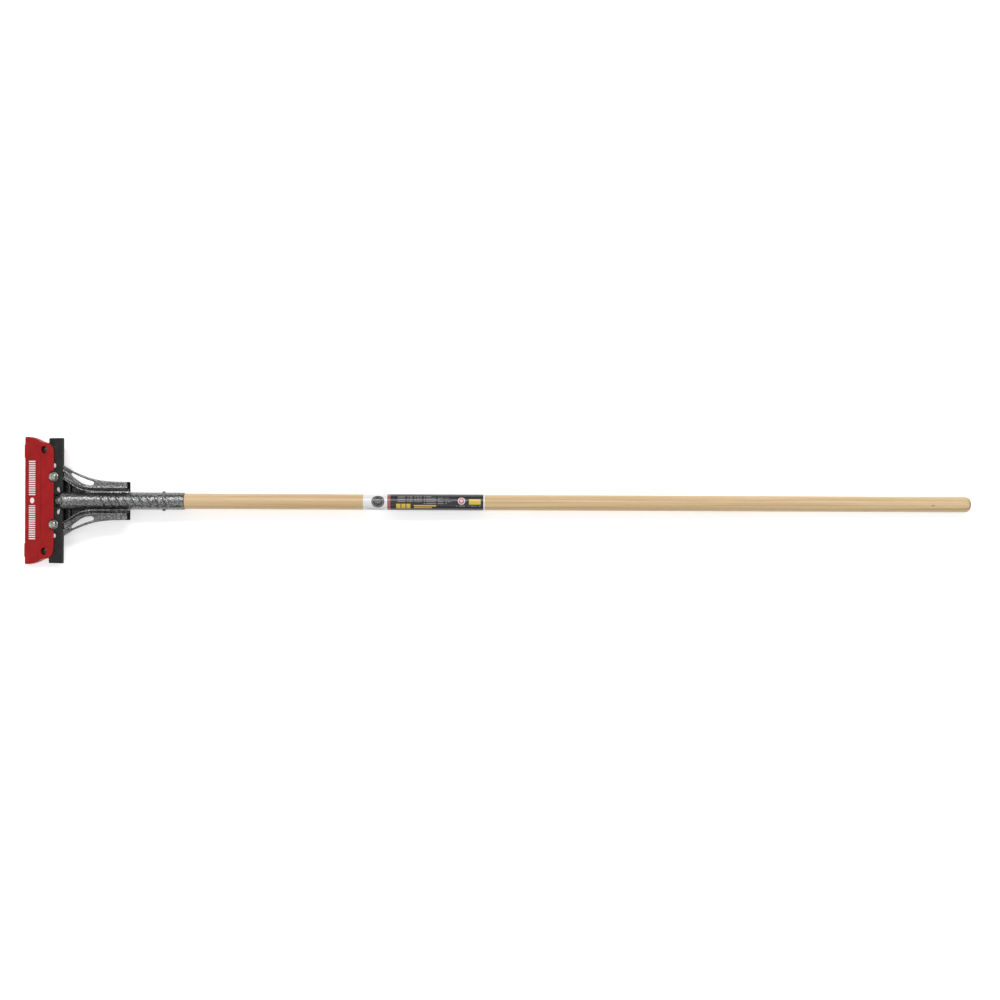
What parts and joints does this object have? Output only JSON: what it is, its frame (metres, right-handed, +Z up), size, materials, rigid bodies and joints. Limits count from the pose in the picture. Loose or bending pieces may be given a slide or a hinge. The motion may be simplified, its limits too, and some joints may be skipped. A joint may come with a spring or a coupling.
{
  "type": "floor scraper",
  "caption": "Long wooden-handled floor scraper with a bolted blade, a cast winged socket and a hinged plastic blade guard that draws off.",
  "frame": {"origin": "middle of the footprint, at the ground the tool lies on", "axes": "+X along the handle away from the blade, leaning down by 0.84 degrees; +Y to the left of the blade's travel seen from above with the handle to the right; +Z up"},
  "size_m": [1.5464, 0.208, 0.0482],
  "materials": {
    "hammertone_grey": "hammertone paint, semi gloss",
    "bar_black": "satin black",
    "blade_steel": "brushed, bright ground edge",
    "fastener_zinc": "bright zinc",
    "nylon_insert": "matte",
    "guard_red": "moulded, semi gloss",
    "stud_black": "glossy",
    "ash_wood": "clear lacquer",
    "label_film": "printed film"
  },
  "bodies": {
    "tool": {"socket_casting": "hammertone_grey", "handle": "ash_wood", "handle_rivet": "hammertone_grey", "handle_label": "label_film", "clamp_bar": "bar_black", "blade": "blade_steel", "blade_bolt_left": "fastener_zinc", "blade_bolt_right": "fastener_zinc", "top_washer_left": "fastener_zinc", "top_washer_right": "fastener_zinc", "under_washer_left": "fastener_zinc", "under_washer_right": "fastener_zinc", "lock_nut_left": "fastener_zinc", "lock_nut_right": "fastener_zinc", "nut_insert_left": "nylon_insert", "nut_insert_right": "nylon_insert"},
    "guard_base": {"guard_lower": "guard_red", "hinge_strap_left": "guard_red", "hinge_strap_right": "guard_red"},
    "guard_lid": {"guard_upper": "guard_red", "snap_stud_left": "stud_black", "snap_stud_right": "stud_black"}
  },
  "joints": [
    {"name": "guard_draw_off", "type": "slide", "parent": "tool", "child": "guard_base", "axis": [-0.9446, 0, -0.3282], "range_m": [0, 0.06]},
    {"name": "guard_lid_hinge", "type": "hinge", "parent": "guard_base", "child": "guard_lid", "pos_m": [-0.77175, 0, 0.00272], "axis": [0, -1, 0], "range_deg": [0, 110]}
  ],
  "couplings": [
    {"joint": "guard_lid_hinge", "follows": "guard_draw_off", "rad_per_m": 31.5}
  ]
}
